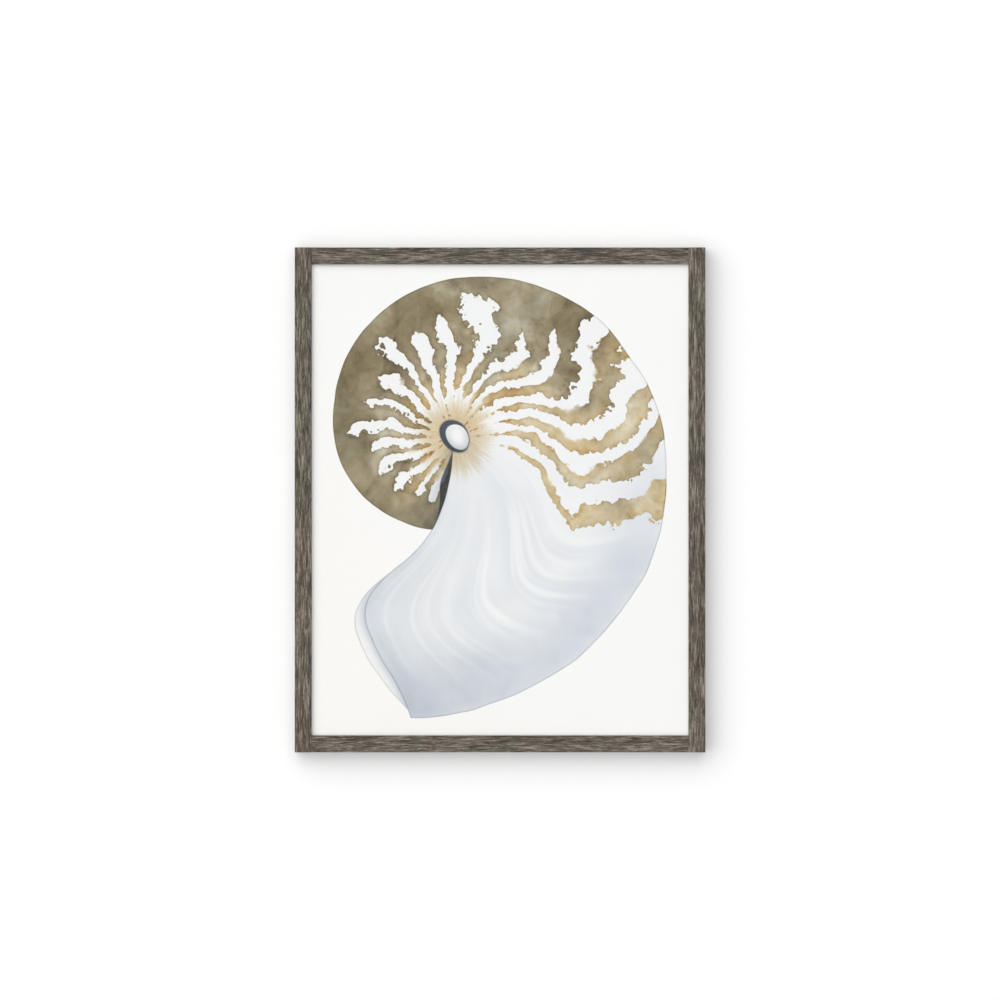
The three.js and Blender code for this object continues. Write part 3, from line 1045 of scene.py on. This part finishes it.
    jl, jr = (row(-SIGHT_X), row(SIGHT_X)) if rail else (0, m - 1)
    lip_quads = set(
        zip(lip_ids, lip_ids[1:])
    )
    for i in range(n):
        k = (i + 1) % n
        for j in range(m - 1):
            if (i, j) in holes:
                continue
            if rail and (i, k) in lip_quads and not (jl <= j < jr):
                continue
            quad = (idx[i, j], idx[k, j], idx[k, j + 1], idx[i, j + 1])
            fc = bm.faces.new([vs[q] for q in quad])
            chunk = 0 if rows[j + 1] <= half + 1e-6 else 1
            lay(
                fc,
                [
                    uv_of(i, j, chunk),
                    uv_of(i + 1, j, chunk),
                    uv_of(i + 1, j + 1, chunk),
                    uv_of(i, j + 1, chunk),
                ],
            )
            side = sec.face[i]
            fc.material_index = 1 if side in (3, 4) or (side == 13) else 0
    # pockets: straight-sided holes for points, staple legs and nails
    cell = 0
    for i0, i1, j0, j1, deep, (dq, dy) in pockets:
        ids = list(range(i0, i1 + 1))
        js = list(range(j0, j1 + 1))
        low = {}
        for i in ids:
            for j in js:
                q = Q[i, j] - dq * deep
                yy = Y[i, j] - dy * deep
                if not rail:
                    co = (sign * (HALF_W - q), yy, rows[j])
                else:
                    co = (rows[j], yy, TOP_Z - q if sign > 0 else BOTTOM_Z + q)
                v = bm.verts.new(Vector(co) * MM)
                v[rel], v[edg] = 0.6, 0.0
                low[i, j] = v
        loop = (
            [(i, js[0]) for i in ids]
            + [(ids[-1], j) for j in js[1:]]
            + [(i, js[-1]) for i in reversed(ids[:-1])]
            + [(ids[0], j) for j in reversed(js[1:-1])]
        )
        made = []
        for a, b in zip(loop, loop[1:] + loop[:1]):
            made.append(
                bm.faces.new([vs[idx[a]], vs[idx[b]], low[b], low[a]])
            )
        for i in ids[:-1]:
            for j in js[:-1]:
                made.append(
                    bm.faces.new(
                        [low[i, j], low[i + 1, j], low[i + 1, j + 1], low[i, j + 1]]
                    )
                )
        for fc in made:
            fc.material_index = 1
            u0 = 0.01 + 0.0095 * (cell % 100)
            v0 = 0.958 + 0.010 * (cell // 100)
            cell += 1
            lay(fc, [(u0, v0), (u0 + 0.006, v0), (u0 + 0.006, v0 + 0.006), (u0, v0 + 0.006)])
    # ends
    caps = []
    if not rail:
        caps.append([idx[i, 0] for i in range(n)])
        caps.append([idx[i, m - 1] for i in range(n)])
    else:
        tongue = [kl]
        while tongue[-1] != kc:
            tongue.append((tongue[-1] + 1) % n)
        for j, out in ((jl, 0), (jr, m - 1)):
            caps.append([idx[i, j] for i in lip_ids])
            caps.append([idx[i, out] for i in tongue])
            a, b = (out, j) if out < j else (j, out)
            for q in range(a, b):  # the tongue's front face, behind the lip
                fc = bm.faces.new(
                    [vs[idx[kl, q]], vs[idx[kc, q]], vs[idx[kc, q + 1]], vs[idx[kl, q + 1]]]
                )
                fc.material_index = 1
                u0 = 0.01 + 0.0095 * (cell % 100)
                v0 = 0.958 + 0.010 * (cell // 100)
                cell += 1
                lay(fc, [(u0, v0), (u0 + 0.006, v0), (u0 + 0.006, v0 + 0.006), (u0, v0 + 0.006)])
    for c, ids in enumerate(caps):
        fc = bm.faces.new([vs[q] for q in ids])
        fc.material_index = 2
        for loop in fc.loops:
            co = loop.vert.co * 1000
            if not rail:
                a, b = (HALF_W - abs(co.x)) / FACE, (co.y - FRONT_Y) / (BACK_Y - FRONT_Y)
            else:
                a, b = (
                    (TOP_Z - co.z if sign > 0 else co.z - BOTTOM_Z) / FACE,
                    (co.y - FRONT_Y) / (BACK_Y - FRONT_Y),
                )
            loop[uv].uv = (0.60 + 0.05 * c + 0.035 * a, 0.962 + 0.034 * b)
    bm.normal_update()
    bmesh.ops.triangulate(
        bm,
        faces=[fc for fc in bm.faces if len(fc.verts) > 4],
        ngon_method="EAR_CLIP",
    )
    loose = [v for v in bm.verts if not v.link_faces]
    bmesh.ops.delete(bm, geom=loose, context="VERTS")
    bmesh.ops.recalc_face_normals(bm, faces=bm.faces)
    for fc in bm.faces:
        fc.smooth = True
    me = bpy.data.meshes.new(name)
    bm.to_mesh(me)
    bm.free()
    me.set_sharp_from_angle(angle=math.radians(50))
    ob = bpy.data.objects.new(name + "_wood", me)
    bpy.context.scene.collection.objects.link(ob)
    for mt in mats:
        me.materials.append(mt)
    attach(ob, "root")
    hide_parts(name)
    return ob


def slab(name, node, mat_list, nx, nz, bevel, wave, front_uv=True):
    """A flat sheet or plate standing in XZ, as a closed grid with arrised edges."""
    lo, hi = mm_box(node)
    xs = stations([lo[0], lo[0] + bevel, hi[0] - bevel, hi[0]], (hi[0] - lo[0]) / nx)
    zs = stations([lo[2], lo[2] + bevel, hi[2] - bevel, hi[2]], (hi[2] - lo[2]) / nz)
    bm = bmesh.new()
    uv = bm.loops.layers.uv.new("OFBake")
    grids = []
    for side in (0, 1):
        g = {}
        for i, x in enumerate(xs):
            for j, z in enumerate(zs):
                rim = i in (0, len(xs) - 1) or j in (0, len(zs) - 1)
                y = lo[1] if side == 0 else hi[1]
                drop = bevel if rim else 0.0
                drop = min(drop, (hi[1] - lo[1]) * 0.3)
                y += drop if side == 0 else -drop
                xx, zz = x, z
                if wave and not rim:
                    fx, fz = (x - lo[0]) / (hi[0] - lo[0]), (z - lo[2]) / (hi[2] - lo[2])
                    w = (
                        math.sin(fx * 9.1 + fz * 4.3 + 0.6)
                        + 0.7 * math.sin(fx * 3.7 - fz * 11.9 + 2.0)
                        + 0.5 * math.sin(fx * 17.0 + fz * 7.0)
                    )
                    edge = min(1.0, 8 * min(fx, 1 - fx, fz, 1 - fz))
                    # each face keeps inside the sheet's own thickness
                    y += (0.5 + 0.5 * w / 2.2) * wave * edge * (1 if side == 0 else -1)
                g[i, j] = bm.verts.new(Vector((xx, y, zz)) * MM)
        grids.append(g)
    shown = 0 if front_uv else 1
    for side, g in enumerate(grids):
        for i in range(len(xs) - 1):
            for j in range(len(zs) - 1):
                ids = [(i, j), (i + 1, j), (i + 1, j + 1), (i, j + 1)]
                fc = bm.faces.new([g[k] for k in ids])
                fc.smooth = True
                fc.material_index = 0 if side == shown or len(mat_list) < 2 else 1
                for loop, (a, b) in zip(fc.loops, ids):
                    fx = (xs[a] - xs[0]) / (xs[-1] - xs[0])
                    fz = (zs[b] - zs[0]) / (zs[-1] - zs[0])
                    if side == shown:
                        loop[uv].uv = (0.004 + 0.992 * fx, 0.004 + 0.93 * fz)
                    else:
                        loop[uv].uv = (0.01 + 0.45 * fx, 0.942 + 0.052 * fz)
    a, b = grids
    nxs, nzs = len(xs) - 1, len(zs) - 1
    ring = (
        [(i, 0) for i in range(nxs)]
        + [(nxs, j) for j in range(nzs)]
        + [(i, nzs) for i in range(nxs, 0, -1)]
        + [(0, j) for j in range(nzs, 0, -1)]
    )
    for c, (p, q) in enumerate(zip(ring, ring[1:] + ring[:1])):
        fc = bm.faces.new([a[p], a[q], b[q], b[p]])
        u0, u1 = 0.5 + 0.48 * c / len(ring), 0.5 + 0.48 * (c + 1) / len(ring)
        for loop, k in zip(fc.loops, ((u0, 0.95), (u1, 0.95), (u1, 0.985), (u0, 0.985))):
            loop[uv].uv = k
        fc.material_index = 0 if len(mat_list) < 2 else 1
    bmesh.ops.recalc_face_normals(bm, faces=bm.faces)
    me = bpy.data.meshes.new(name)
    bm.to_mesh(me)
    bm.free()
    me.set_sharp_from_angle(angle=math.radians(25))
    ob = bpy.data.objects.new(name, me)
    bpy.context.scene.collection.objects.link(ob)
    for mt in mat_list:
        me.materials.append(mt)
    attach(ob, "root")
    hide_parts(node)
    return ob


def turned(name, node, profile, mat, around=64):
    """A round piece on an axis along Y, through the middle of its CAD node."""
    lo, hi = mm_box(node)
    cx, cz = (lo[0] + hi[0]) / 2, (lo[2] + hi[2]) / 2
    bm = bmesh.new()
    rings = []
    for r, y in profile:
        if r < 1e-6:
            rings.append([bm.verts.new(Vector((cx, y, cz)) * MM)])
        else:
            rings.append(
                [
                    bm.verts.new(
                        Vector(
                            (
                                cx + r * math.cos(TAU * k / around),
                                y,
                                cz + r * math.sin(TAU * k / around),
                            )
                        )
                        * MM
                    )
                    for k in range(around)
                ]
            )
    for a, b in zip(rings, rings[1:]):
        for k in range(around):
            k2 = (k + 1) % around
            if len(a) == 1 and len(b) == 1:
                continue
            if len(a) == 1:
                fc = bm.faces.new([a[0], b[k], b[k2]])
            elif len(b) == 1:
                fc = bm.faces.new([a[k], b[0], a[k2]])
            else:
                fc = bm.faces.new([a[k], b[k], b[k2], a[k2]])
            fc.smooth = True
    bmesh.ops.recalc_face_normals(bm, faces=bm.faces)
    me = bpy.data.meshes.new(name)
    bm.to_mesh(me)
    bm.free()
    me.set_sharp_from_angle(angle=math.radians(40))
    ob = bpy.data.objects.new(name, me)
    bpy.context.scene.collection.objects.link(ob)
    me.materials.append(mat)
    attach(ob, "root")
    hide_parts(node)
    return ob


# ---- the frame ----------------------------------------------------------------------
stile_mats = [wood("weathered_stile", "Z"), bare_wood("stile_rabbet", "Z"), end_grain("stile_end_grain", "Z")]
rail_mats = [wood("weathered_rail", "X"), bare_wood("rail_rabbet", "X"), end_grain("rail_end_grain", "X")]


def spans(prefix, axis):
    """The slot of each flexible point along a member."""
    out = []
    for nm in sorted(nodes):
        if nm.startswith(prefix):
            lo, hi = mm_box(nm)
            c = (lo[axis] + hi[axis]) / 2
            out.append((c - 3.375, c + 3.375))
    return out


STAPLE_DEEP = 9.5
mid_back = BACK_W / 2
stile_staples = [
    (HALF_W - WALL_X - 4.625 - 0.625, HALF_W - WALL_X - 4.625 + 0.625, z - 0.875, z + 0.875, STAPLE_DEEP)
    for z in (BOTTOM_Z + mid_back, TOP_Z - mid_back)
]
rail_staples = [
    (mid_back - 0.875, mid_back + 0.875, s * (WALL_X - 4.625) - 0.625, s * (WALL_X - 4.625) + 0.625, STAPLE_DEEP)
    for s in (-1, 1)
]
h_lo, h_hi = mm_box("hanger_nail_right")
hx, hz = (h_lo[0] + h_hi[0]) / 2, (h_lo[2] + h_hi[2]) / 2
nail_pockets = [
    (TOP_Z - hz - 1.0, TOP_Z - hz + 1.0, s * hx - 1.0, s * hx + 1.0, 11.0) for s in (-1, 1)
]
member("left_stile", "Z", -1, False, stile_mats, spans("point_left", 2), stile_staples)
member("right_stile", "Z", 1, False, stile_mats, spans("point_right", 2), stile_staples)
member("top_rail", "X", 1, True, rail_mats, spans("point_top", 0), rail_staples, nail_pockets)
member("bottom_rail", "X", -1, True, rail_mats, spans("point_bottom", 0), rail_staples)

# ---- the stack ------------------------------------------------------------------------
slab("glass_pane_cut", "glass_pane", [picture_glass()], 8, 10, 0.3, 0.0)
slab("print_sheet_paper", "print_sheet", [watercolour(), paper_back()], 90, 112, 0.06, 0.05)
slab("backing_board_cut", "backing_board", [hardboard()], 24, 30, 0.45, 0.0, False)

# ---- hardware ---------------------------------------------------------------------------
steel_x, steel_z = zinc_steel("zinc_steel_x", "X"), zinc_steel("zinc_steel_z", "Z")
for nm, o in nodes.items():
    if nm.startswith(("point_", "staple_")) or nm == "sawtooth_hanger":
        o.data.materials.clear()
        o.data.materials.append(
            steel_z if nm.startswith(("point_top", "point_bottom")) else steel_x
        )
        wd = o.modifiers.new("joined", "WELD")
        wd.merge_threshold = 0.000002
        bv = o.modifiers.new("eased", "BEVEL")
        bv.width = 0.00011 if nm != "sawtooth_hanger" else 0.00016
        bv.segments = 2
        bv.limit_method = "ANGLE"
        bv.angle_limit = math.radians(35)

for s in ("left", "right"):
    node = "hanger_nail_" + s
    lo, hi = mm_box(node)
    y0, y1 = lo[1], hi[1]
    seat = y1 - 1.0  # under the head
    prof = [(0, y0), (0.12, y0 + 0.15), (0.42, y0 + 1.1), (0.74, y0 + 2.0)]
    yy = y0 + 2.4
    while yy < seat - 0.5:  # ringed shank
        prof += [(0.74, yy), (0.70, yy + 0.18), (0.70, yy + 0.42)]
        yy += 0.6
    prof += [(0.74, seat - 0.2), (0.74, seat), (2.1, seat), (2.22, seat + 0.08), (2.25, seat + 0.25)]
    prof += [(2.12, seat + 0.46), (1.8, seat + 0.64), (1.35, seat + 0.80), (0.8, seat + 0.93), (0.35, seat + 0.985), (0, y1)]
    turned("hanger_nail_turned_" + s, node, prof, steel_x, 40)

for s in ("left", "right"):
    node = "wall_pad_" + s
    lo, hi = mm_box(node)
    y0, y1 = lo[1], hi[1]
    prof = [(0, y0), (4.85, y0), (5.0, y0 + 0.15), (5.0, y0 + 1.1), (4.93, y0 + 1.55), (4.72, y0 + 2.05)]
    prof += [(4.38, y0 + 2.5), (3.95, y0 + 2.88), (3.5, y0 + 3.13), (3.2, y1 - 0.02), (3.0, y1)]
    prof += [(2.2, y1), (1.9, y1 - 0.12), (1.5, y1 - 0.18), (0, y1 - 0.2)]
    turned("wall_pad_moulded_" + s, node, prof, rubber(), 72)


# =====================================================================================
# Stage, light and camera
# =====================================================================================
def one_sided(name, colour, rough, glow=0.0):
    """A stage surface that is seen from its front only."""
    g = Graph(name)
    geo = g.node("ShaderNodeNewGeometry")
    clear = g.node("ShaderNodeBsdfTransparent")
    p = g.node("ShaderNodeBsdfPrincipled")
    p.inputs["Base Color"].default_value = (*colour, 1)
    p.inputs["Roughness"].default_value = rough
    p.inputs["Specular IOR Level"].default_value = 0.0
    p.inputs["Emission Color"].default_value = (1, 1, 1, 1)
    p.inputs["Emission Strength"].default_value = glow
    mix = g.node("ShaderNodeMixShader")
    g.nt.links.new(geo.outputs["Backfacing"], mix.inputs[0])
    g.nt.links.new(p.outputs[0], mix.inputs[1])
    g.nt.links.new(clear.outputs[0], mix.inputs[2])
    g.nt.links.new(mix.outputs[0], g.out.inputs["Surface"])
    return g.mat


def stage_plane(name, corners, mat):
    me = bpy.data.meshes.new(name)
    me.from_pydata(corners, [], [(0, 1, 2, 3)])
    me.materials.append(mat)
    ob = bpy.data.objects.new(name, me)
    bpy.context.scene.collection.objects.link(ob)
    ob.visible_shadow = False
    ob.visible_diffuse = False
    ob.visible_glossy = False
    ob.visible_transmission = False
    return ob


ALL_LIGHT = 1.11  # light on a surface that faces the room, as a share of white
WALL_GLOW = 0.12  # the backdrop's own light, as in a high-key studio
wy = WALL_Y * MM
FLOOR = BOTTOM_Z * MM - 0.62
wall = stage_plane(
    "wall",
    [(-4, wy, FLOOR), (4, wy, FLOOR), (4, wy, 4), (-4, wy, 4)],
    one_sided("wall_paint", (0.81, 0.81, 0.81), 0.9, WALL_GLOW),
)
floor = stage_plane(
    "floor",
    [(-4, wy - 5, FLOOR), (4, wy - 5, FLOOR), (4, wy, FLOOR), (-4, wy, FLOOR)],
    one_sided("floor_paint", (0.72, 0.72, 0.71), 0.9, 0.22),
)

world = bpy.data.worlds.new("room")
world.use_nodes = True
bg = world.node_tree.nodes["Background"]
AMBIENT = 0.285
bg.inputs[0].default_value = (1, 1, 1, 1)
bg.inputs[1].default_value = AMBIENT
bpy.context.scene.world = world


def sun(name, direction, angle, strength):
    """direction points from the object to the light."""
    d = bpy.data.lights.new(name, "SUN")
    d.energy = strength
    d.angle = math.radians(angle)
    o = bpy.data.objects.new(name, d)
    o.rotation_mode = "QUATERNION"
    o.rotation_quaternion = Vector(direction).to_track_quat("Z", "Y")
    bpy.context.scene.collection.objects.link(o)
    return o


key_x, key_z = math.tan(math.radians(-18.2)), math.tan(math.radians(15.0))
square_on = 1 / math.sqrt(1 + key_x**2 + key_z**2)
key = (ALL_LIGHT - AMBIENT) * math.pi / square_on
sun("key_wide", (key_x, -1.0, key_z), 90, key * 0.863)
sun("key_core", (key_x, -1.0, key_z), 47, key * 0.137)
sun("side_left", (-1.0, 0.45, 0.5), 36, 1.3)
sun("side_right", (1.0, 0.45, 0.35), 36, 1.1)
sun("behind", (0.25, 1.0, 0.45), 60, 1.5)

cam_data = bpy.data.cameras.new("camera")
cam_data.lens = 200.0
cam_data.sensor_width = 36.0
cam_data.clip_start, cam_data.clip_end = 0.1, 60.0
cam = bpy.data.objects.new("camera", cam_data)
VIEW_W = 1.0612  # what the picture's width shows at the frame's front face
dist = VIEW_W * cam_data.lens / cam_data.sensor_width
cam.location = (-0.00005, FRONT_Y * MM - dist, MID_Z * MM - 0.00013)
cam.rotation_euler = (math.radians(90), 0, 0)
bpy.context.scene.collection.objects.link(cam)
bpy.context.scene.camera = cam

vs_ = bpy.context.scene.view_settings
vs_.view_transform = "Standard"
vs_.look = "None"
vs_.exposure = 0.0
vs_.gamma = 1.0

bpy.context.view_layer.update()
